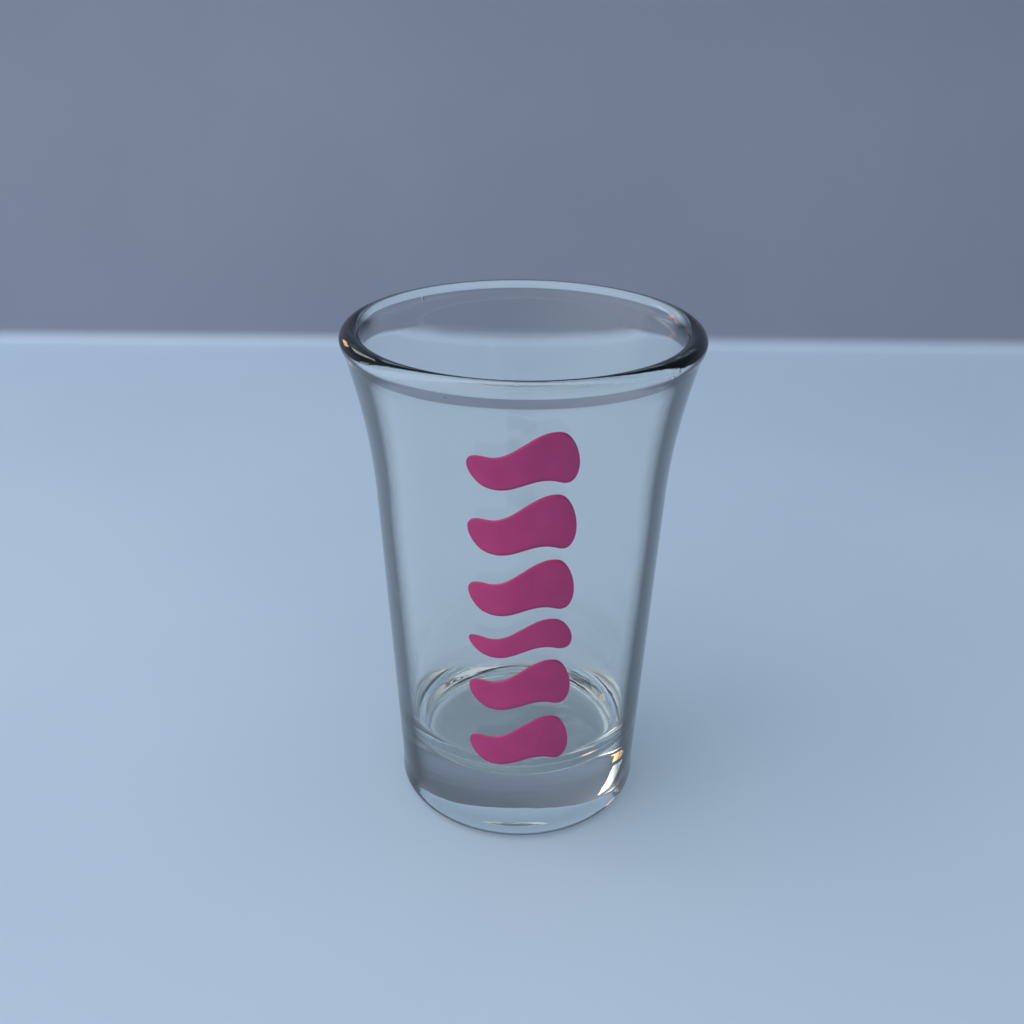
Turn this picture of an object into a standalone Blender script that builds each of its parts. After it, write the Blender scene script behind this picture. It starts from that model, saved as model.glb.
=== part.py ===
"""A flared souvenir shot glass with a column of cut vinyl waves on its wall.

The glass stands on the XY plane with its axis on +Z. Its decorated front faces -Y.
Lengths are in metres.
"""

import math

import bmesh
import bpy
from mathutils import Matrix, Vector
from mathutils.geometry import interpolate_bezier

MM = 0.001

# Driving dimensions of the glass
HEIGHT = 75.0 * MM
BASE_RADIUS = 18.5 * MM  # the straight taper of the wall, carried down to the table
TAPER = 0.05  # radius gained for each unit of height
FLARE_START = 50.5 * MM  # height where the wall begins to curl outward
FLARE_RADIUS = 93.0 * MM
WALL_THICKNESS = 2.2 * MM
NECK_THICKNESS = 2.6 * MM  # the wall just under the rim
RIM_BEAD_RADIUS = 1.45 * MM
BEAD_PROUD = 0.08 * MM  # how far the bead stands out past the wall
FLOOR_HEIGHT = 9.5 * MM
FLOOR_DISH = 0.3 * MM  # how much the middle of the floor sinks
FLOOR_CORNER = 7.0 * MM

# Driving dimensions of the foot
HEEL_RADIUS = 1.8 * MM
FOOT_SPREAD = 0.25 * MM  # the foot is a little wider than the taper
FOOT_BLEND = 5.0 * MM  # height over which that spread dies out
RING_INNER_RADIUS = 13.6 * MM
PUNT_DEPTH = 0.45 * MM

# Driving dimensions of the vinyl
FILM_THICKNESS = 0.2 * MM
FILM_CLEARANCE = 0.3 * MM
COLUMN_WIDTH = 14.3 * MM
THIN_SHARE = 0.55  # height of a wave's thin end, as a share of its fat end
END_ROUNDING = 2.4 * MM  # how far in from each end the corners are rounded
WAVE_SWING = 1.3 * MM
# The slot that each wave fills, from the lowest up: the height of its foot, and how tall it is
WAVE_SLOTS = (
    (14.6 * MM, 9.2 * MM),
    (24.6 * MM, 9.0 * MM),
    (34.1 * MM, 6.2 * MM),
    (40.5 * MM, 9.2 * MM),
    (49.9 * MM, 9.6 * MM),
    (59.8 * MM, 8.9 * MM),
)

# How finely the solids are faceted
TURNS = 72
WAVE_STATIONS = 16
WAVE_ROWS = 4
MERGE = 0.001 * MM


def smooth_step(t):
    """Rises from 0 to 1 with no corner at either end."""
    t = min(max(t, 0.0), 1.0)
    return t * t * (3.0 - 2.0 * t)


def outer_radius(z):
    """Radius of the outside of the wall at height z: a straight taper, a foot and a flare."""
    radius = BASE_RADIUS + TAPER * z
    radius += FOOT_SPREAD * (1.0 - smooth_step(z / FOOT_BLEND))
    if z > FLARE_START:
        rise = z - FLARE_START
        radius += FLARE_RADIUS - math.sqrt(FLARE_RADIUS**2 - rise**2)
    return radius


def outer_slope(z):
    """Angle between the outside of the wall and the vertical at height z."""
    step = 0.01 * MM
    return math.atan((outer_radius(z) - outer_radius(z - step)) / step)


def wall_thickness(z):
    """The wall is thinnest at mid height and thickens up to the neck."""
    swell = smooth_step((z - 0.45 * HEIGHT) / (0.4 * HEIGHT))
    return WALL_THICKNESS + (NECK_THICKNESS - WALL_THICKNESS) * swell


def inner_radius(z):
    """Radius of the inside of the wall at height z."""
    return outer_radius(z) - wall_thickness(z)


def arc(centre, radius, start_deg, end_deg, steps):
    """Points (r, z) of an arc, from start_deg to end_deg."""
    points = []
    for i in range(steps + 1):
        a = math.radians(start_deg + (end_deg - start_deg) * i / steps)
        points.append((centre[0] + radius * math.cos(a), centre[1] + radius * math.sin(a)))
    return points


def bezier(start, start_handle, end_handle, end, steps):
    """Points (r, z) of one cubic curve."""
    knots = [Vector((r, z, 0.0)) for r, z in (start, start_handle, end_handle, end)]
    return [(p.x, p.y) for p in interpolate_bezier(*knots, steps + 1)]


def heights(low, high, steps):
    """Evenly spaced heights from low to high."""
    return [low + (high - low) * i / steps for i in range(steps + 1)]


def glass_outline():
    """Outline (r, z) of the glass, from the axis under the foot to the axis on the floor."""
    heel_centre = (outer_radius(HEEL_RADIUS) - HEEL_RADIUS, HEEL_RADIUS)
    outline = bezier(
        (0.0, PUNT_DEPTH),
        (0.5 * RING_INNER_RADIUS, PUNT_DEPTH),
        (0.85 * RING_INNER_RADIUS, 0.25 * PUNT_DEPTH),
        (RING_INNER_RADIUS, 0.0),
        5,
    )
    outline += arc(heel_centre, HEEL_RADIUS, -90.0, 0.0, 4)

    bead_z = HEIGHT - RIM_BEAD_RADIUS
    lean = math.degrees(outer_slope(bead_z))
    wall_top = bead_z - 1.6 * RIM_BEAD_RADIUS
    bead_r = outer_radius(bead_z) + BEAD_PROUD - RIM_BEAD_RADIUS
    outline += [(outer_radius(z), z) for z in heights(HEEL_RADIUS, FOOT_BLEND, 3)[1:]]
    outline += [(outer_radius(z), z) for z in heights(FOOT_BLEND, FLARE_START, 4)[1:]]
    outline += [(outer_radius(z), z) for z in heights(FLARE_START, wall_top, 7)[1:]]
    outline += arc((bead_r, bead_z), RIM_BEAD_RADIUS, -lean - 20.0, 200.0 - lean, 14)

    corner_top = FLOOR_HEIGHT + FLOOR_CORNER
    corner_inner = inner_radius(corner_top) - FLOOR_CORNER
    outline += [(inner_radius(z), z) for z in heights(wall_top, FLARE_START, 6)]
    outline += [(inner_radius(z), z) for z in heights(FLARE_START, corner_top, 4)[1:]]
    outline += arc((corner_inner, corner_top), FLOOR_CORNER, 0.0, -90.0, 7)[1:]
    outline += bezier(
        (corner_inner, FLOOR_HEIGHT),
        (0.7 * corner_inner, FLOOR_HEIGHT),
        (0.4 * corner_inner, FLOOR_HEIGHT - FLOOR_DISH),
        (0.0, FLOOR_HEIGHT - FLOOR_DISH),
        4,
    )[1:]
    return outline


def add_object(name, bm, material):
    """Closes a bmesh into a named, smooth shaded object with one material."""
    bmesh.ops.remove_doubles(bm, verts=bm.verts, dist=MERGE)
    bmesh.ops.recalc_face_normals(bm, faces=bm.faces)
    mesh = bpy.data.meshes.new(name)
    bm.to_mesh(mesh)
    bm.free()
    mesh.materials.append(material)
    mesh.shade_smooth()
    mesh.set_sharp_from_angle(angle=math.radians(50.0))
    obj = bpy.data.objects.new(name, mesh)
    bpy.context.collection.objects.link(obj)
    return obj


def make_material(name, color, roughness, transmission=0.0, ior=1.5):
    """A Principled material with this part's own colour and gloss."""
    material = bpy.data.materials.new(name)
    material.use_nodes = True
    shader = material.node_tree.nodes["Principled BSDF"]
    shader.inputs["Base Color"].default_value = (*color, 1.0)
    shader.inputs["Roughness"].default_value = roughness
    shader.inputs["Metallic"].default_value = 0.0
    shader.inputs["Transmission Weight"].default_value = transmission
    shader.inputs["IOR"].default_value = ior
    material.diffuse_color = (*color, 1.0)
    return material


def make_glass(material):
    """Turns the outline about +Z into the one moulded piece of glass."""
    bm = bmesh.new()
    verts = [bm.verts.new((r, 0.0, z)) for r, z in glass_outline()]
    edges = [bm.edges.new(pair) for pair in zip(verts, verts[1:])]
    bmesh.ops.spin(
        bm,
        geom=verts + edges,
        cent=(0.0, 0.0, 0.0),
        axis=(0.0, 0.0, 1.0),
        angle=math.tau,
        steps=TURNS,
        use_merge=True,
    )
    return add_object("glass_body", bm, material)


def wave_half_height(across, fat):
    """Half the height of a wave at a place across it, from -1 at its thin end to 1 at its fat end."""
    half = fat * (THIN_SHARE + (1.0 - THIN_SHARE) * smooth_step(0.5 * across + 0.5))
    from_end = 0.5 * COLUMN_WIDTH * (1.0 - abs(across)) / END_ROUNDING
    if from_end < 1.0:
        half *= math.sqrt(1.0 - (1.0 - from_end) ** 2)
    return half


def on_glass(across, z):
    """Point over the outside of the wall, at an arc length across the front and a height."""
    angle = across / outer_radius(z)
    turned = Matrix.Rotation(angle, 3, "Z") @ Vector((0.0, -1.0, 0.0))
    point = turned * (outer_radius(z) + FILM_CLEARANCE)
    point.z = z
    return point


def make_wave(name, foot, height, material):
    """Cuts one wave of film, thin at its left end and fat at its right, and bends it to the wall."""
    fat = 0.5 * (height - WAVE_SWING)
    bm = bmesh.new()
    rows = []
    for i in range(WAVE_STATIONS + 1):
        across = -math.cos(math.pi * i / WAVE_STATIONS)
        spine = foot + fat + WAVE_SWING * math.sin(math.pi * across)
        half = wave_half_height(across, fat)
        row = []
        for j in range(WAVE_ROWS + 1):
            z = spine + half * (2.0 * j / WAVE_ROWS - 1.0)
            row.append(bm.verts.new(on_glass(0.5 * COLUMN_WIDTH * across, z)))
        rows.append(row)
    for left, right in zip(rows, rows[1:]):
        for j in range(WAVE_ROWS):
            bm.faces.new((left[j], right[j], right[j + 1], left[j + 1]))
    wave = add_object(name, bm, material)
    solidify = wave.modifiers.new("film thickness", "SOLIDIFY")
    solidify.thickness = FILM_THICKNESS
    solidify.offset = 1.0
    return wave


def main():
    """Clears the scene and makes every piece of the shot glass."""
    for old in list(bpy.data.objects):
        bpy.data.objects.remove(old, do_unlink=True)
    clear_glass = make_material("clear soda-lime glass", (0.92, 0.97, 0.97), 0.03, 1.0, 1.52)
    magenta_film = make_material("magenta vinyl film", (0.55, 0.07, 0.21), 0.4)
    make_glass(clear_glass)
    for number, (foot, height) in enumerate(WAVE_SLOTS, start=1):
        make_wave(f"vinyl_wave_{number}", foot, height, magenta_film)


main()
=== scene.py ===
# %% [markdown]
# # A flared shot glass with cut vinyl waves
#
# A shot glass is a small piece of pressed glass, and nearly all of its look is light that bends
# through it. So this lesson spends its effort on three things: an exact outline, clean thick glass,
# and a quiet studio for the glass to bend.
#
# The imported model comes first. It fixes where everything is and how large it is, and every piece
# made below takes the place of one of its pieces.

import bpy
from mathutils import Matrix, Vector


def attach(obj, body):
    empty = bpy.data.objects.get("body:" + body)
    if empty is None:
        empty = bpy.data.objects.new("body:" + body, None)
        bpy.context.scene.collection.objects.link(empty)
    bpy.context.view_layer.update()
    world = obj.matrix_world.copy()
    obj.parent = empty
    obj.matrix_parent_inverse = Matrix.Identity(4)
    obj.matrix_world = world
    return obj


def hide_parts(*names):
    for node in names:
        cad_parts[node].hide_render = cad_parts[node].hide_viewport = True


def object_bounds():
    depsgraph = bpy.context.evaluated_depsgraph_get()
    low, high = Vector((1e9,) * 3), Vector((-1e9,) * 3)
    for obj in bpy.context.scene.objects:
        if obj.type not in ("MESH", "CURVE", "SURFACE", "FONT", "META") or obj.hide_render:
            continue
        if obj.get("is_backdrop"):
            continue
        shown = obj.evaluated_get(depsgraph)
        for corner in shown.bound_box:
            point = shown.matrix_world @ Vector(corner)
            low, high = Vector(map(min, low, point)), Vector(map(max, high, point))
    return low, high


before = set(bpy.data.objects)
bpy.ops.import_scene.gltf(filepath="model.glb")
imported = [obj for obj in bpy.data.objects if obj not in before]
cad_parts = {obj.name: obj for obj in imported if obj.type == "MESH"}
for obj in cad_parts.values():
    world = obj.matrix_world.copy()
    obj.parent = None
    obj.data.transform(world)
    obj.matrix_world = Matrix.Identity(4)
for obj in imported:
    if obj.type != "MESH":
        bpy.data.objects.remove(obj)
print("pieces in the packed model:", sorted(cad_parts))

# %% [markdown]
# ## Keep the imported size
#
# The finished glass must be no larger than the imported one. Its box is kept now, before anything is
# added, and compared at the end. Blender counts in metres, and a shot glass is easier to think about
# in millimetres, so one named value turns one into the other.

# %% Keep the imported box
import math

import bmesh
import bpy
from mathutils import Matrix, Quaternion, Vector
from mathutils.geometry import interpolate_bezier

MM = 0.001
cad_low, cad_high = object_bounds()
HEIGHT = cad_high.z
print(f"packed glass: {HEIGHT / MM:.1f} mm tall, {(cad_high.x - cad_low.x) / MM:.1f} mm across the rim")

# %% [markdown]
# ## The camera
#
# The glass is seen from close by and from above, as by someone who leans over a table. Being close
# makes the near rim look clearly wider than the far one. A long lens from far away would flatten
# that, so the lens here is a fairly wide one held near. The camera also leans by half a degree,
# because a view held by hand is seldom level.

# %% Place the camera
CAMERA_PLACE = (-1.3 * MM, -147.6 * MM, 118.6 * MM)
CAMERA_LENS = 38.95  # mm
LOOK_DOWN = math.radians(26.13)
CAMERA_LEAN = math.radians(0.585)
SENSOR_WIDTH = 36.0  # mm
NEAREST_SEEN = 5.0 * MM

camera = bpy.data.objects.new("camera", bpy.data.cameras.new("camera"))
bpy.context.collection.objects.link(camera)
camera.data.lens = CAMERA_LENS
camera.data.sensor_width = SENSOR_WIDTH
camera.data.clip_start = NEAREST_SEEN
camera.location = CAMERA_PLACE
camera.rotation_mode = "QUATERNION"
look = Quaternion((1.0, 0.0, 0.0), math.pi / 2 - LOOK_DOWN)
camera.rotation_quaternion = look @ Quaternion((0.0, 0.0, 1.0), CAMERA_LEAN)
bpy.context.scene.camera = camera
print(f"camera {Vector(CAMERA_PLACE).length / MM:.0f} mm from the foot of the glass")

# %% [markdown]
# ## The outside of the glass
#
# Pressed glass takes the shape of its mould outside and of a plunger inside. Both are turned shapes,
# so the whole body is one outline turned about the upright axis. The outline is written as radii at
# heights, the way a mould maker would draw it.
#
# The outside is a gentle straight taper that curls outward near the top. The curl is part of a
# circle, which meets the taper without a corner. The foot spreads very slightly, where the hot glass
# settled on its base.

# %% Outside of the wall
BASE_RADIUS = 18.5 * MM
TAPER = 0.05  # radius gained for each unit of height
FLARE_START = 50.5 * MM
FLARE_RADIUS = 93.0 * MM
FOOT_SPREAD = 0.25 * MM
FOOT_BLEND = 5.0 * MM


def smooth_step(t):
    """Rises from 0 to 1 with no corner at either end."""
    t = min(max(t, 0.0), 1.0)
    return t * t * (3.0 - 2.0 * t)


def outer_radius(z):
    """Radius of the outside of the wall at height z: a straight taper, a foot and a flare."""
    radius = BASE_RADIUS + TAPER * z
    radius += FOOT_SPREAD * (1.0 - smooth_step(z / FOOT_BLEND))
    if z > FLARE_START:
        rise = z - FLARE_START
        radius += FLARE_RADIUS - math.sqrt(FLARE_RADIUS**2 - rise**2)
    return radius


def outer_slope(z):
    """Angle between the outside of the wall and the vertical at height z."""
    step = 0.01 * MM
    return math.atan((outer_radius(z) - outer_radius(z - step)) / step)


print(f"outside radius {outer_radius(0.0) / MM:.2f} mm at the foot")
print(f"outside radius {outer_radius(HEIGHT) / MM:.2f} mm at the top")

# %% [markdown]
# ## The inside of the glass
#
# How thick the glass is matters more than anything else for its look, because light that meets the
# inside at a slant is trapped in the wall. The wall is thinnest in the middle and thickens under the
# rim. That thick neck is what turns the ends of the rim nearly black.

# %% Inside of the wall
WALL_THICKNESS = 2.2 * MM
NECK_THICKNESS = 2.6 * MM
SWELL_START = 0.45 * HEIGHT
SWELL_RISE = 0.4 * HEIGHT


def wall_thickness(z):
    """The wall is thinnest at mid height and thickens up to the neck."""
    swell = smooth_step((z - SWELL_START) / SWELL_RISE)
    return WALL_THICKNESS + (NECK_THICKNESS - WALL_THICKNESS) * swell


def inner_radius(z):
    """Radius of the inside of the wall at height z."""
    return outer_radius(z) - wall_thickness(z)


for share in (0.2, 0.5, 0.9):
    print(f"wall at {share:.1f} of the height: {wall_thickness(share * HEIGHT) / MM:.2f} mm thick")

# %% [markdown]
# ## Rim, heel, floor and foot
#
# Four smaller forms finish the outline. A flame rounds the rim to a bead. The heel is a small
# rounding where the wall meets the table. The plunger leaves a soft corner round the floor, and
# the foot is hollowed a little, so that the glass stands on a ring.
#
# Arcs make the bead, the heel and the corner. Bezier curves make the two shallow hollows, because
# they leave the axis level and so leave no point in the middle.

# %% Short curves for the outline
RIM_BEAD_RADIUS = 1.45 * MM
BEAD_PROUD = 0.08 * MM
FLOOR_HEIGHT = 9.5 * MM
FLOOR_DISH = 0.3 * MM
FLOOR_CORNER = 7.0 * MM
HEEL_RADIUS = 1.8 * MM
RING_INNER_RADIUS = 13.6 * MM
PUNT_DEPTH = 0.45 * MM


def arc(centre, radius, start_deg, end_deg, steps):
    """Points (r, z) of an arc, from start_deg to end_deg."""
    points = []
    for i in range(steps + 1):
        a = math.radians(start_deg + (end_deg - start_deg) * i / steps)
        points.append((centre[0] + radius * math.cos(a), centre[1] + radius * math.sin(a)))
    return points


def bezier(start, start_handle, end_handle, end, steps):
    """Points (r, z) of one cubic curve."""
    knots = [Vector((r, z, 0.0)) for r, z in (start, start_handle, end_handle, end)]
    return [(p.x, p.y) for p in interpolate_bezier(*knots, steps + 1)]


def heights(low, high, steps):
    """Evenly spaced heights from low to high."""
    return [low + (high - low) * i / steps for i in range(steps + 1)]


print(f"the solid base is {(FLOOR_HEIGHT - FLOOR_DISH - PUNT_DEPTH) / MM:.2f} mm thick in the middle")

# %% [markdown]
# The outline is made in two runs, outside and inside, because the finish later needs to know which
# is which. Refraction shows every flat facet, so the curves are cut much finer here than in the
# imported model.

# %% Outline in two runs
FINE = 3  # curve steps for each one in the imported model


def rim_bead():
    """Centre (r, z) of the round rim, and how far the wall there leans outward in degrees."""
    bead_z = HEIGHT - RIM_BEAD_RADIUS
    bead_r = outer_radius(bead_z) + BEAD_PROUD - RIM_BEAD_RADIUS
    return (bead_r, bead_z), math.degrees(outer_slope(bead_z))


def wall_top():
    """Height where the bead begins."""
    return HEIGHT - 2.6 * RIM_BEAD_RADIUS


def outside_run():
    """Outline (r, z) from the axis under the foot, up the outside and over the rim."""
    heel_centre = (outer_radius(HEEL_RADIUS) - HEEL_RADIUS, HEEL_RADIUS)
    run = bezier(
        (0.0, PUNT_DEPTH),
        (0.5 * RING_INNER_RADIUS, PUNT_DEPTH),
        (0.85 * RING_INNER_RADIUS, 0.25 * PUNT_DEPTH),
        (RING_INNER_RADIUS, 0.0),
        5 * FINE,
    )
    run += arc(heel_centre, HEEL_RADIUS, -90.0, 0.0, 4 * FINE)
    run += [(outer_radius(z), z) for z in heights(HEEL_RADIUS, FOOT_BLEND, 3 * FINE)[1:]]
    run += [(outer_radius(z), z) for z in heights(FOOT_BLEND, FLARE_START, 6 * FINE)[1:]]
    run += [(outer_radius(z), z) for z in heights(FLARE_START, wall_top(), 7 * FINE)[1:]]
    centre, lean = rim_bead()
    run += arc(centre, RIM_BEAD_RADIUS, -lean - 20.0, 200.0 - lean, 14 * FINE)
    return run


def inside_run():
    """Outline (r, z) from under the rim, down the inside and across the floor to the axis."""
    corner_top = FLOOR_HEIGHT + FLOOR_CORNER
    corner_inner = inner_radius(corner_top) - FLOOR_CORNER
    run = [(inner_radius(z), z) for z in heights(wall_top(), FLARE_START, 6 * FINE)]
    run += [(inner_radius(z), z) for z in heights(FLARE_START, corner_top, 6 * FINE)[1:]]
    run += arc((corner_inner, corner_top), FLOOR_CORNER, 0.0, -90.0, 7 * FINE)[1:]
    run += bezier(
        (corner_inner, FLOOR_HEIGHT),
        (0.7 * corner_inner, FLOOR_HEIGHT),
        (0.4 * corner_inner, FLOOR_HEIGHT - FLOOR_DISH),
        (0.0, FLOOR_HEIGHT - FLOOR_DISH),
        4 * FINE,
    )[1:]
    return run


print("outline points:", len(outside_run()), "outside and", len(inside_run()), "inside")

# %% [markdown]
# ## Finish: clear soda-lime glass
#
# Glass has almost no colour. What tells the eye that it is glass is refraction, so the shader is
# full transmission with the index of soda-lime glass, about 1.52. Iron in the sand makes thick glass
# faintly blue-green, and that colour belongs in the volume, where it grows with the depth of the
# glass, and not on the surface.

# %% Start a glass material


def new_material(name):
    """A node material, with the parts that every finish below needs."""
    material = bpy.data.materials.new(name)
    material.use_nodes = True
    tree = material.node_tree
    return material, tree.nodes, tree.links, tree.nodes["Principled BSDF"]


SODA_LIME_IOR = 1.52
IRON_COLOR = (0.72, 0.9, 0.93, 1.0)
IRON_DENSITY = 9.0

GLASS, glass_nodes, glass_links, glass_shader = new_material("clear pressed glass")
glass_out = glass_nodes["Material Output"]
glass_shader.inputs["Transmission Weight"].default_value = 1.0
glass_shader.inputs["IOR"].default_value = SODA_LIME_IOR

iron_tint = glass_nodes.new("ShaderNodeVolumeAbsorption")
iron_tint.inputs["Color"].default_value = IRON_COLOR
iron_tint.inputs["Density"].default_value = IRON_DENSITY
glass_links.new(iron_tint.outputs[0], glass_out.inputs["Volume"])
print("glass refracts at", SODA_LIME_IOR)

# %% [markdown]
# Looked at edge on, the wall of the real glass is a soft dark line. Refraction alone did not give that
# here: with walls of several thicknesses the edges still came out pale. So the dark line is painted
# shade, a stand-in. A Layer Weight node tells how edge-on the surface is, and a ramp turns that into
# painted shade on the glass's colour. Only the outside needs it. A value stored on each point of the
# mesh, 1 outside and 0 inside, keeps the painted shade there.

# %% Paint shade on the glass where it is edge-on
CLEAR_TINT = (0.95, 0.955, 0.94, 1.0)
# Painted shade: where the outside is seen edge-on, the glass's colour turns to this near black.
PAINTED_EDGE_SHADE = (0.028, 0.03, 0.032, 1.0)
EDGE_START = 0.5  # how edge-on the glass is where the painted shade starts
EDGE_FULL = 0.67

edge_on = glass_nodes.new("ShaderNodeLayerWeight")
edge_on.inputs["Blend"].default_value = 0.5
painted_edge_ramp = glass_nodes.new("ShaderNodeValToRGB")
painted_edge_ramp.color_ramp.interpolation = "EASE"
painted_edge_ramp.color_ramp.elements[0].position = EDGE_START
painted_edge_ramp.color_ramp.elements[0].color = CLEAR_TINT
painted_edge_ramp.color_ramp.elements[1].position = EDGE_FULL
painted_edge_ramp.color_ramp.elements[1].color = PAINTED_EDGE_SHADE
outside_share = glass_nodes.new("ShaderNodeAttribute")
outside_share.attribute_name = "outside"
# Mixes the painted edge shade onto the outside of the glass only.
painted_edge_mix = glass_nodes.new("ShaderNodeMix")
painted_edge_mix.data_type = "RGBA"
painted_edge_mix.inputs["A"].default_value = CLEAR_TINT
glass_links.new(edge_on.outputs["Facing"], painted_edge_ramp.inputs["Fac"])
glass_links.new(outside_share.outputs["Fac"], painted_edge_mix.inputs["Factor"])
glass_links.new(painted_edge_ramp.outputs["Color"], painted_edge_mix.inputs["B"])
glass_links.new(painted_edge_mix.outputs["Result"], glass_shader.inputs["Base Color"])
print("edge tint starts at", EDGE_START, "of edge-on")

# %% [markdown]
# Pressed glass is never as true as a lens. As it cools it keeps faint upright draw lines and a
# gentle ripple, and a used glass has a few smudges. Draw lines are a noise that is squeezed around
# the glass and stretched up it. The ripple is a coarser noise. Both only tilt the surface, through
# a bump, and by very little: thick glass makes the smallest tilt plain to see.

# %% Draw lines, ripple and smudges
DRAW_LINES_PER_METRE = (420.0, 420.0, 14.0)
RIPPLES_PER_METRE = 90.0
SMUDGES_PER_METRE = 55.0
DRAW_LINE_DEPTH = 0.008 * MM
RIPPLE_DEPTH = 0.05 * MM
SMUDGE_ROUGHNESS = 0.015
SMUDGE_START = 0.52  # share of the noise where a smudge begins
SMUDGE_FULL = 0.75
HANDLED_FROM = 0.25 * HEIGHT  # fingers hold the wall, and leave the solid base clean
HANDLED_FULLY = HANDLED_FROM + 0.2 * HEIGHT


def noise(nodes, links, scale, detail, vector):
    """A noise texture fed by a set of coordinates."""
    texture = nodes.new("ShaderNodeTexNoise")
    texture.inputs["Scale"].default_value = scale
    texture.inputs["Detail"].default_value = detail
    links.new(vector, texture.inputs["Vector"])
    return texture


def bump(nodes, links, height, strength, depth, under=None):
    """A bump of the given depth in metres, laid over another one if it is given."""
    node = nodes.new("ShaderNodeBump")
    node.inputs["Strength"].default_value = strength
    node.inputs["Distance"].default_value = depth
    links.new(height, node.inputs["Height"])
    if under:
        links.new(under.outputs["Normal"], node.inputs["Normal"])
    return node


glass_place = glass_nodes.new("ShaderNodeTexCoord").outputs["Object"]
stretch = glass_nodes.new("ShaderNodeMapping")
stretch.inputs["Scale"].default_value = DRAW_LINES_PER_METRE
glass_links.new(glass_place, stretch.inputs["Vector"])
draw_lines = noise(glass_nodes, glass_links, 1.0, 2.0, stretch.outputs["Vector"])
ripple = noise(glass_nodes, glass_links, RIPPLES_PER_METRE, 1.0, glass_place)
draw_bump = bump(glass_nodes, glass_links, draw_lines.outputs["Fac"], 1.0, DRAW_LINE_DEPTH)
glass_bump = bump(glass_nodes, glass_links, ripple.outputs["Fac"], 1.0, RIPPLE_DEPTH, draw_bump)
glass_links.new(glass_bump.outputs["Normal"], glass_shader.inputs["Normal"])

smudges = noise(glass_nodes, glass_links, SMUDGES_PER_METRE, 4.0, glass_place)
smudge_range = glass_nodes.new("ShaderNodeMapRange")
smudge_range.inputs["From Min"].default_value = SMUDGE_START
smudge_range.inputs["From Max"].default_value = SMUDGE_FULL
smudge_range.inputs["To Min"].default_value = 0.0
smudge_range.inputs["To Max"].default_value = SMUDGE_ROUGHNESS
glass_height = glass_nodes.new("ShaderNodeSeparateXYZ")
handled = glass_nodes.new("ShaderNodeMapRange")
handled.inputs["From Min"].default_value = HANDLED_FROM
handled.inputs["From Max"].default_value = HANDLED_FULLY
smudged = glass_nodes.new("ShaderNodeMath")
smudged.operation = "MULTIPLY"
glass_links.new(smudges.outputs["Fac"], smudge_range.inputs["Value"])
glass_links.new(glass_place, glass_height.inputs["Vector"])
glass_links.new(glass_height.outputs["Z"], handled.inputs["Value"])
glass_links.new(smudge_range.outputs["Result"], smudged.inputs[0])
glass_links.new(handled.outputs["Result"], smudged.inputs[1])
glass_links.new(smudged.outputs["Value"], glass_shader.inputs["Roughness"])
print("draw lines about", round(1000 / DRAW_LINES_PER_METRE[0], 1), "mm apart")

# %% [markdown]
# A path tracer finds it hard to send lamp light through glass to the table, and would leave a black,
# noisy shadow. For shadow rays alone, the glass is replaced with a plain tinted pane. The outside
# takes more light away than the inside does. So the walls throw a soft pale shadow, and the table
# still shows bright through the floor of the glass.

# %% Let lamp light through
SHADOW_INSIDE = (1.0, 1.0, 1.0, 1.0)
SHADOW_OUTSIDE = (0.92, 0.93, 0.93, 1.0)

shadow_tint = glass_nodes.new("ShaderNodeMix")
shadow_tint.data_type = "RGBA"
shadow_tint.inputs["A"].default_value = SHADOW_INSIDE
shadow_tint.inputs["B"].default_value = SHADOW_OUTSIDE
clear_pane = glass_nodes.new("ShaderNodeBsdfTransparent")
light_path = glass_nodes.new("ShaderNodeLightPath")
for_shadows = glass_nodes.new("ShaderNodeMixShader")
glass_links.new(outside_share.outputs["Fac"], shadow_tint.inputs["Factor"])
glass_links.new(shadow_tint.outputs["Result"], clear_pane.inputs["Color"])
glass_links.new(light_path.outputs["Is Shadow Ray"], for_shadows.inputs[0])
glass_links.new(glass_shader.outputs[0], for_shadows.inputs[1])
glass_links.new(clear_pane.outputs[0], for_shadows.inputs[2])
glass_links.new(for_shadows.outputs[0], glass_out.inputs["Surface"])
let_through = (SHADOW_INSIDE[1] * SHADOW_OUTSIDE[1]) ** 2
print("two walls let through", round(let_through, 2), "of the lamp's light")

# %% [markdown]
# ## Turn the glass
#
# The outline is spun about the axis. A Screw modifier would do the same, but the spin lets each
# point carry its "outside" value along. Quads that all run round and up the glass shade smoothly.

# %% Spin the outline
TURNS = 256
MERGE = 0.0005 * MM


def spin_glass():
    """The outline turned about +Z as a closed bmesh, with the outside points marked."""
    bm = bmesh.new()
    mark = bm.verts.layers.float.new("outside")
    verts = []
    for share, run in ((1.0, outside_run()), (0.0, inside_run())):
        for r, z in run:
            vert = bm.verts.new((r, 0.0, z))
            vert[mark] = share
            verts.append(vert)
    edges = [bm.edges.new(pair) for pair in zip(verts, verts[1:])]
    bmesh.ops.spin(
        bm,
        geom=verts + edges,
        cent=(0.0, 0.0, 0.0),
        axis=(0.0, 0.0, 1.0),
        angle=math.tau,
        steps=TURNS,
        use_merge=True,
    )
    bmesh.ops.remove_doubles(bm, verts=bm.verts, dist=MERGE)
    bmesh.ops.recalc_face_normals(bm, faces=bm.faces)
    return bm


glass_mesh = spin_glass()
volume = glass_mesh.calc_volume()
print(f"{len(glass_mesh.faces)} faces, {volume * 1e6:.1f} ml of glass, about {volume * 2.5e6:.0f} g")

# %% [markdown]
# ## Seeds
#
# A few tiny bubbles, which glass makers call seeds, stay in cheap pressed glass. A painted dot would
# not sparkle. A real bubble is a hole, so each seed is a small ball whose faces are turned inside
# out, joined to the glass: light leaves the glass at one side and enters it again at the other.

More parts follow.
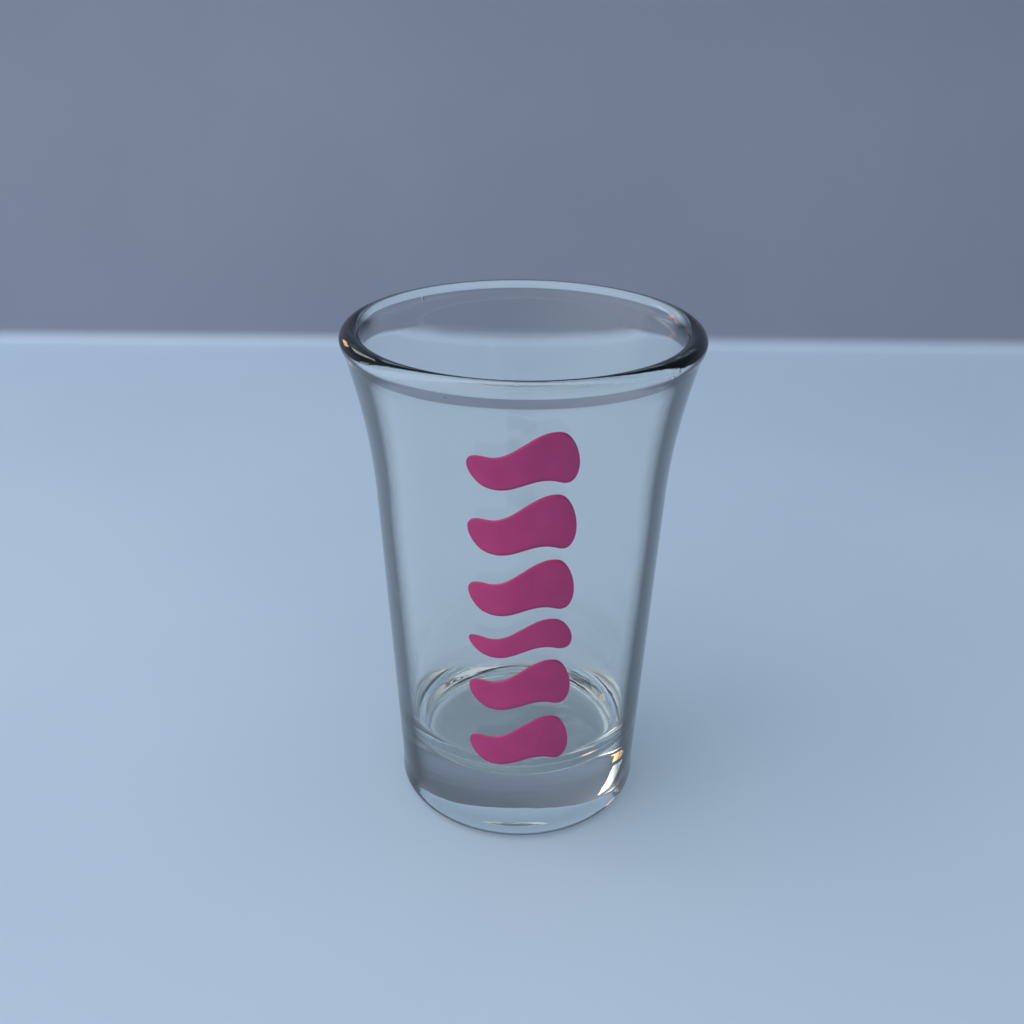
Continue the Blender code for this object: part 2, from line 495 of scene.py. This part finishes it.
# %% Blow the seeds
# Each seed: degrees around from the front (positive is to the right), height, radius
SEEDS = (
    (-23.0, 72.6 * MM, 0.22 * MM),
    (50.0, 72.9 * MM, 0.22 * MM),
    (53.0, 73.3 * MM, 0.15 * MM),
    (-139.0, 73.4 * MM, 0.2 * MM),
    (-140.0, 71.2 * MM, 0.16 * MM),
    (31.0, 41.0 * MM, 0.07 * MM),
    (-44.0, 27.0 * MM, 0.08 * MM),
    (148.0, 52.0 * MM, 0.08 * MM),
)


def on_mid_wall(degrees, z):
    """Point in the middle of the glass at a place around it and a height."""
    radius = outer_radius(z) - 0.5 * wall_thickness(z)
    return Matrix.Rotation(math.radians(degrees), 3, "Z") @ Vector((0.0, -radius, z))


for degrees, z, size in SEEDS:
    place = Matrix.Translation(on_mid_wall(degrees, z))
    ball = bmesh.ops.create_icosphere(glass_mesh, subdivisions=3, radius=size, matrix=place)
    faces = {face for vert in ball["verts"] for face in vert.link_faces}
    bmesh.ops.reverse_faces(glass_mesh, faces=list(faces))
largest_seed = 2 * max(seed[2] for seed in SEEDS)
print(len(SEEDS), "seeds, the largest", round(largest_seed / MM, 2), "mm across")

# %% [markdown]
# ## Put the glass in the model
#
# The finished glass rides on the model's one body and takes the place of the imported glass.

# %% Place the pressed glass


def add_object(name, bm, material):
    """Turns a bmesh into a named, smooth shaded object with one material."""
    mesh = bpy.data.meshes.new(name)
    bm.to_mesh(mesh)
    bm.free()
    mesh.materials.append(material)
    mesh.shade_smooth()
    obj = bpy.data.objects.new(name, mesh)
    bpy.context.collection.objects.link(obj)
    return obj


glass = add_object("pressed_glass", glass_mesh, GLASS)
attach(glass, "root")
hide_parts("glass_body")
across_rim, tall = glass.dimensions.x / MM, glass.dimensions.z / MM
print(f"pressed glass is {across_rim:.2f} mm across and {tall:.2f} mm tall")

# %% [markdown]
# ## Finish: magenta vinyl film
#
# Sign vinyl is a soft plastic film a tenth of a millimetre thick, coloured right through, with a
# satin face. Close to, it has a very fine orange-peel skin, and its gloss varies a little where a
# hand rubbed it down. Three noises give that: a slow one for the rubbing, a fine one for the skin
# and a middle one that shifts the colour slightly.

# %% Magenta film
VINYL_IOR = 1.48
FILM_DEEP = (0.54, 0.038, 0.185, 1.0)
FILM_PALE = (0.6, 0.05, 0.215, 1.0)
FILM_GLOSSIEST = 0.32
FILM_DULLEST = 0.52
BLOTCHES_PER_METRE = 260.0
RUBS_PER_METRE = 110.0
SKIN_PER_METRE = 4200.0
RUB_DEPTH = 0.06 * MM
SKIN_DEPTH = 0.01 * MM

FILM, film_nodes, film_links, film_shader = new_material("magenta vinyl film")
film_shader.inputs["IOR"].default_value = VINYL_IOR

film_place = film_nodes.new("ShaderNodeTexCoord").outputs["Object"]
blotch = noise(film_nodes, film_links, BLOTCHES_PER_METRE, 3.0, film_place)
film_color = film_nodes.new("ShaderNodeValToRGB")
film_color.color_ramp.elements[0].position = 0.3
film_color.color_ramp.elements[0].color = FILM_DEEP
film_color.color_ramp.elements[1].position = 0.7
film_color.color_ramp.elements[1].color = FILM_PALE
film_links.new(blotch.outputs["Fac"], film_color.inputs["Fac"])
film_links.new(film_color.outputs["Color"], film_shader.inputs["Base Color"])

rubbing = noise(film_nodes, film_links, RUBS_PER_METRE, 2.0, film_place)
rubbed = film_nodes.new("ShaderNodeMapRange")
rubbed.inputs["To Min"].default_value = FILM_GLOSSIEST
rubbed.inputs["To Max"].default_value = FILM_DULLEST
film_links.new(rubbing.outputs["Fac"], rubbed.inputs["Value"])
film_links.new(rubbed.outputs["Result"], film_shader.inputs["Roughness"])

skin = noise(film_nodes, film_links, SKIN_PER_METRE, 2.0, film_place)
skin_bump = bump(film_nodes, film_links, skin.outputs["Fac"], 0.5, SKIN_DEPTH)
film_bump = bump(film_nodes, film_links, rubbing.outputs["Fac"], 1.0, RUB_DEPTH, skin_bump)
film_links.new(film_bump.outputs["Normal"], film_shader.inputs["Normal"])
print("film roughness from", FILM_GLOSSIEST, "to", FILM_DULLEST)

# %% [markdown]
# ## Shape of one wave
#
# The column is six soft waves. Each is thin at its left end and fat at its right, with rounded
# corners, and rises and dips along its length. Drawing it flat and bending it round the glass keeps
# the film the same thickness everywhere. Stations across the wave are closer together near its
# ends, where the outline turns quickest.

# %% Half height of a wave
COLUMN_WIDTH = 14.3 * MM
THIN_SHARE = 0.55  # height of a wave's thin end, as a share of its fat end
END_ROUNDING = 2.4 * MM
WAVE_SWING = 1.3 * MM


def wave_half_height(across, fat):
    """Half the height of a wave at a place across it, from -1 at its thin end to 1 at its fat end."""
    half = fat * (THIN_SHARE + (1.0 - THIN_SHARE) * smooth_step(0.5 * across + 0.5))
    from_end = 0.5 * COLUMN_WIDTH * (1.0 - abs(across)) / END_ROUNDING
    if from_end < 1.0:
        half *= math.sqrt(1.0 - (1.0 - from_end) ** 2)
    return half


thin, fat = wave_half_height(-0.6, 1.0), wave_half_height(0.6, 1.0)
print(f"thin end {thin:.2f}, fat end {fat:.2f} of the full half height")

# %% [markdown]
# The film follows the curved wall, so a place on it is an arc length across the front and a height.
# It lies a hundredth of a millimetre clear of the glass. Two surfaces in the very same place would
# fight, and show as speckles.

# %% Lay a point on the glass
FILM_CLEARANCE = 0.01 * MM


def on_glass(across, z):
    """Point over the outside of the wall, at an arc length across the front and a height."""
    angle = across / outer_radius(z)
    turned = Matrix.Rotation(angle, 3, "Z") @ Vector((0.0, -1.0, 0.0))
    point = turned * (outer_radius(z) + FILM_CLEARANCE)
    point.z = z
    return point


covered = math.degrees(COLUMN_WIDTH / outer_radius(0.5 * HEIGHT))
print("the column covers", round(covered), "degrees of the wall")

# %% [markdown]
# ## Cut the six waves
#
# Each wave is a grid of quads on the wall, and a Solidify modifier gives it the film's thickness
# outward. A Boolean cut from a sheet would leave long thin faces that shade badly on a curve.

# %% Cut and stick the waves
FILM_THICKNESS = 0.1 * MM
WAVE_STATIONS = 48
WAVE_ROWS = 12
# The slot that each wave fills, from the lowest up: the height of its foot, and how tall it is
WAVE_SLOTS = (
    (14.6 * MM, 9.2 * MM),
    (24.6 * MM, 9.0 * MM),
    (34.1 * MM, 6.2 * MM),
    (40.5 * MM, 9.2 * MM),
    (49.9 * MM, 9.6 * MM),
    (59.8 * MM, 8.9 * MM),
)


def cut_wave(name, foot, height):
    """Cuts one wave of film, thin at its left end and fat at its right, and bends it to the wall."""
    fat = 0.5 * (height - WAVE_SWING)
    bm = bmesh.new()
    rows = []
    for i in range(WAVE_STATIONS + 1):
        across = -math.cos(math.pi * i / WAVE_STATIONS)
        spine = foot + fat + WAVE_SWING * math.sin(math.pi * across)
        half = wave_half_height(across, fat)
        row = []
        for j in range(WAVE_ROWS + 1):
            z = spine + half * (2.0 * j / WAVE_ROWS - 1.0)
            row.append(bm.verts.new(on_glass(0.5 * COLUMN_WIDTH * across, z)))
        rows.append(row)
    for left, right in zip(rows, rows[1:]):
        for j in range(WAVE_ROWS):
            bm.faces.new((left[j], right[j], right[j + 1], left[j + 1]))
    bmesh.ops.remove_doubles(bm, verts=bm.verts, dist=MERGE)
    bmesh.ops.recalc_face_normals(bm, faces=bm.faces)
    wave = add_object(name, bm, FILM)
    solidify = wave.modifiers.new("film thickness", "SOLIDIFY")
    solidify.thickness = FILM_THICKNESS
    solidify.offset = 1.0
    return wave


for number, (foot, height) in enumerate(WAVE_SLOTS, start=1):
    wave = cut_wave(f"film_wave_{number}", foot, height)
    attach(wave, "root")
    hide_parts(f"vinyl_wave_{number}")
    print(wave.name, f"{foot / MM:.1f} to {(foot + height) / MM:.1f} mm up the glass")

# %% [markdown]
# ## The studio
#
# Clear glass shows nothing but its surroundings, bent, so the studio is part of its look. A pale
# blue table ends about 23 centimetres behind the glass, and a grey wall rises there. The glass shows the
# table through its middle, and the wall as a dark band in its solid base and under its rim.
#
# Both paints drift a little between two close colours and have a fine tooth. A ramp over the height
# changes one paint into the other, so that the join is as soft as it looks from close to the glass.
# A second ramp paints shade on the wall, darker higher up, which deepens the band in the base.

# %% Paint for the table and the wall, with painted shade up the wall
TABLE_PALE = (0.56, 0.71, 0.88, 1.0)
TABLE_DEEP = (0.53, 0.68, 0.85, 1.0)
WALL_PALE = (0.34, 0.37, 0.46, 1.0)
WALL_DEEP = (0.315, 0.345, 0.435, 1.0)
# Painted shade: higher up, the wall paint darkens towards this colour.
WALL_PAINTED_SHADE = (0.17, 0.185, 0.225, 1.0)
PAINT_ROUGHNESS = 0.7
COVE_RADIUS = 5.0 * MM
PAINTED_SHADE_FULL_HEIGHT = 3.5 * HEIGHT
MOTTLES_PER_METRE = 9.0
TOOTH_PER_METRE = 900.0
TOOTH_DEPTH = 0.05 * MM


def drifting_colour(nodes, links, place, deep, pale):
    """A colour that drifts softly between two close ones."""
    mottle = noise(nodes, links, MOTTLES_PER_METRE, 3.0, place)
    ramp = nodes.new("ShaderNodeValToRGB")
    ramp.color_ramp.elements[0].position = 0.35
    ramp.color_ramp.elements[0].color = deep
    ramp.color_ramp.elements[1].position = 0.65
    ramp.color_ramp.elements[1].color = pale
    links.new(mottle.outputs["Fac"], ramp.inputs["Fac"])
    return ramp.outputs["Color"]


backdrop_paint, nodes, links, shader = new_material("table and wall paint")
place = nodes.new("ShaderNodeTexCoord").outputs["Object"]
height_of = nodes.new("ShaderNodeSeparateXYZ")
join = nodes.new("ShaderNodeMapRange")
join.interpolation_type = "SMOOTHSTEP"
join.inputs["From Min"].default_value = 0.0
join.inputs["From Max"].default_value = COVE_RADIUS
paint = nodes.new("ShaderNodeMix")
paint.data_type = "RGBA"
# Painted shade: the wall paint grows darker with height.
painted_wall_shade = nodes.new("ShaderNodeMapRange")
painted_wall_shade.interpolation_type = "SMOOTHSTEP"
painted_wall_shade.inputs["From Min"].default_value = HEIGHT
painted_wall_shade.inputs["From Max"].default_value = PAINTED_SHADE_FULL_HEIGHT
wall_color_and_shade = nodes.new("ShaderNodeMix")
wall_color_and_shade.data_type = "RGBA"
wall_color_and_shade.inputs["B"].default_value = WALL_PAINTED_SHADE
links.new(place, height_of.inputs[0])
links.new(height_of.outputs["Z"], join.inputs["Value"])
links.new(height_of.outputs["Z"], painted_wall_shade.inputs["Value"])
links.new(painted_wall_shade.outputs["Result"], wall_color_and_shade.inputs["Factor"])
links.new(join.outputs["Result"], paint.inputs["Factor"])
links.new(drifting_colour(nodes, links, place, TABLE_DEEP, TABLE_PALE), paint.inputs["A"])
links.new(drifting_colour(nodes, links, place, WALL_DEEP, WALL_PALE), wall_color_and_shade.inputs["A"])
links.new(wall_color_and_shade.outputs["Result"], paint.inputs["B"])
links.new(paint.outputs["Result"], shader.inputs["Base Color"])
shader.inputs["Roughness"].default_value = PAINT_ROUGHNESS
tooth = noise(nodes, links, TOOTH_PER_METRE, 2.0, place)
tooth_bump = bump(nodes, links, tooth.outputs["Fac"], 0.3, TOOTH_DEPTH)
links.new(tooth_bump.outputs["Normal"], shader.inputs["Normal"])
print("paint changes over the first", round(COVE_RADIUS / MM), "mm of height")

# %% [markdown]
# One sheet makes both. Its side view is a flat run, a small cove and an upright run. Sweeping that
# line sideways leaves no gap for light to leak through.

# %% Sweep the table and the wall
TABLE_BACK = 227.0 * MM
TABLE_SIDE = 900.0 * MM
TABLE_FRONT = 1000.0 * MM
TABLE_TOP = -0.2 * MM
WALL_HEIGHT = 600.0 * MM

cove_centre = (TABLE_BACK - COVE_RADIUS, TABLE_TOP + COVE_RADIUS)
side_view = [(-TABLE_FRONT, TABLE_TOP)]
side_view += arc(cove_centre, COVE_RADIUS, -90.0, 0.0, 12)
side_view += [(TABLE_BACK, WALL_HEIGHT)]
sheet = bmesh.new()
left_side, right_side = (
    [sheet.verts.new((side, y, z)) for y, z in side_view] for side in (-TABLE_SIDE, TABLE_SIDE)
)
for i in range(len(side_view) - 1):
    sheet.faces.new((left_side[i], right_side[i], right_side[i + 1], left_side[i + 1]))
backdrop = add_object("table_and_wall", sheet, backdrop_paint)
backdrop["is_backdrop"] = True
print("the wall stands", round(TABLE_BACK / MM), "mm behind the glass")

# %% [markdown]
# ## The light
#
# Most of the light is the room itself: bright up on the left, like a pale wall beside a window, and
# fading to dim elsewhere. Thick glass mirrors its surroundings, so such a gradient gives it soft
# gleams where a small lamp would give hard white lines. A dot product tells how far each direction
# is towards the bright side, and that share mixes the dim colour with the bright one.

# %% Room light
TOWARDS_LIGHT = (-0.6, 0.0, 0.8)
ROOM_DIM = (0.12, 0.13, 0.15, 1.0)
ROOM_BRIGHT = (0.9, 0.93, 0.97, 1.0)
ROOM_STRENGTH = 0.82

world = bpy.data.worlds.new("room")
bpy.context.scene.world = world
world.use_nodes = True
world_nodes, world_links = world.node_tree.nodes, world.node_tree.links
direction = world_nodes.new("ShaderNodeTexCoord").outputs["Generated"]
towards = world_nodes.new("ShaderNodeVectorMath")
towards.operation = "DOT_PRODUCT"
towards.inputs[1].default_value = Vector(TOWARDS_LIGHT).normalized()
side_share = world_nodes.new("ShaderNodeMapRange")
side_share.interpolation_type = "SMOOTHSTEP"
side_share.inputs["From Min"].default_value = 0.0
side_share.inputs["From Max"].default_value = 1.0
room_color = world_nodes.new("ShaderNodeMix")
room_color.data_type = "RGBA"
room_color.inputs["A"].default_value = ROOM_DIM
room_color.inputs["B"].default_value = ROOM_BRIGHT
room_light = world_nodes["Background"]
room_light.inputs["Strength"].default_value = ROOM_STRENGTH
world_links.new(direction, towards.inputs[0])
world_links.new(towards.outputs["Value"], side_share.inputs["Value"])
world_links.new(side_share.outputs["Result"], room_color.inputs["Factor"])
world_links.new(room_color.outputs["Result"], room_light.inputs["Color"])
print("the room runs from", ROOM_DIM[1], "to", ROOM_BRIGHT[1], "in green")

# %% [markdown]
# A broad soft window high on the left adds just enough direction for a soft shadow. It is kept out of
# the glass, where it would leave hard white lines. Behind the glass on the left, a small pane and a
# small warm lamp are there for the glass alone. Light from them crosses the solid base, bounces off
# its inside and leaves at the right as one white glint and one amber one. They are switched off for
# matt surfaces, so they do not light the table or the wall.

# %% Lamps


def soft_lamp(name, place, size, watts, color, in_glass=True):
    """A soft lamp turned to the glass, hidden from the camera, and seen inside the glass or not."""
    data = bpy.data.lights.new(name, "AREA")
    data.shape = "RECTANGLE"
    data.size, data.size_y = size
    data.energy = watts
    data.color = color
    data.cycles.use_multiple_importance_sampling = in_glass
    lamp = bpy.data.objects.new(name, data)
    lamp.location = place
    to_glass = Vector((0.0, 0.0, 0.3 * HEIGHT)) - Vector(place)
    lamp.rotation_euler = to_glass.to_track_quat("-Z", "Y").to_euler()
    lamp.visible_camera = False
    lamp.visible_transmission = in_glass
    lamp.visible_diffuse = not in_glass
    bpy.context.collection.objects.link(lamp)


soft_lamp("window", (-0.75, -0.3, 0.95), (1.0, 1.0), 8.0, (0.96, 0.98, 1.0), in_glass=False)
soft_lamp("pane", (-0.176, 0.158, 0.205), (0.05, 0.08), 0.032, (1.0, 0.99, 0.97))
soft_lamp("warm lamp", (-0.178, 0.191, 0.120), (0.04, 0.05), 0.03, (1.0, 0.48, 0.2))

# %% [markdown]
# The view transform is the plain one, which keeps pale colours as they were mixed. Light may bounce
# many times inside glass before it gets out. Light that glass focuses on the table is left out,
# because the tinted pane above already stands for it, and it would be the noisiest part.

# %% Render behaviour
GLASS_BOUNCES = 24

scene = bpy.context.scene
scene.view_settings.view_transform = "Standard"
scene.cycles.max_bounces = GLASS_BOUNCES
scene.cycles.transmission_bounces = GLASS_BOUNCES
scene.cycles.glossy_bounces = GLASS_BOUNCES
scene.cycles.caustics_refractive = False
scene.cycles.caustics_reflective = False
print("light may bounce", GLASS_BOUNCES, "times in the glass")

# %% [markdown]
# ## Compare the size
#
# The finished glass is measured against the imported one, and the largest shift of a corner is printed.

# %% Compare with the imported box
new_low, new_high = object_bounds()
growth = max((new - old).length for new, old in ((new_low, cad_low), (new_high, cad_high)))
print(f"largest corner shift from the packed box: {growth / MM:.3f} mm")
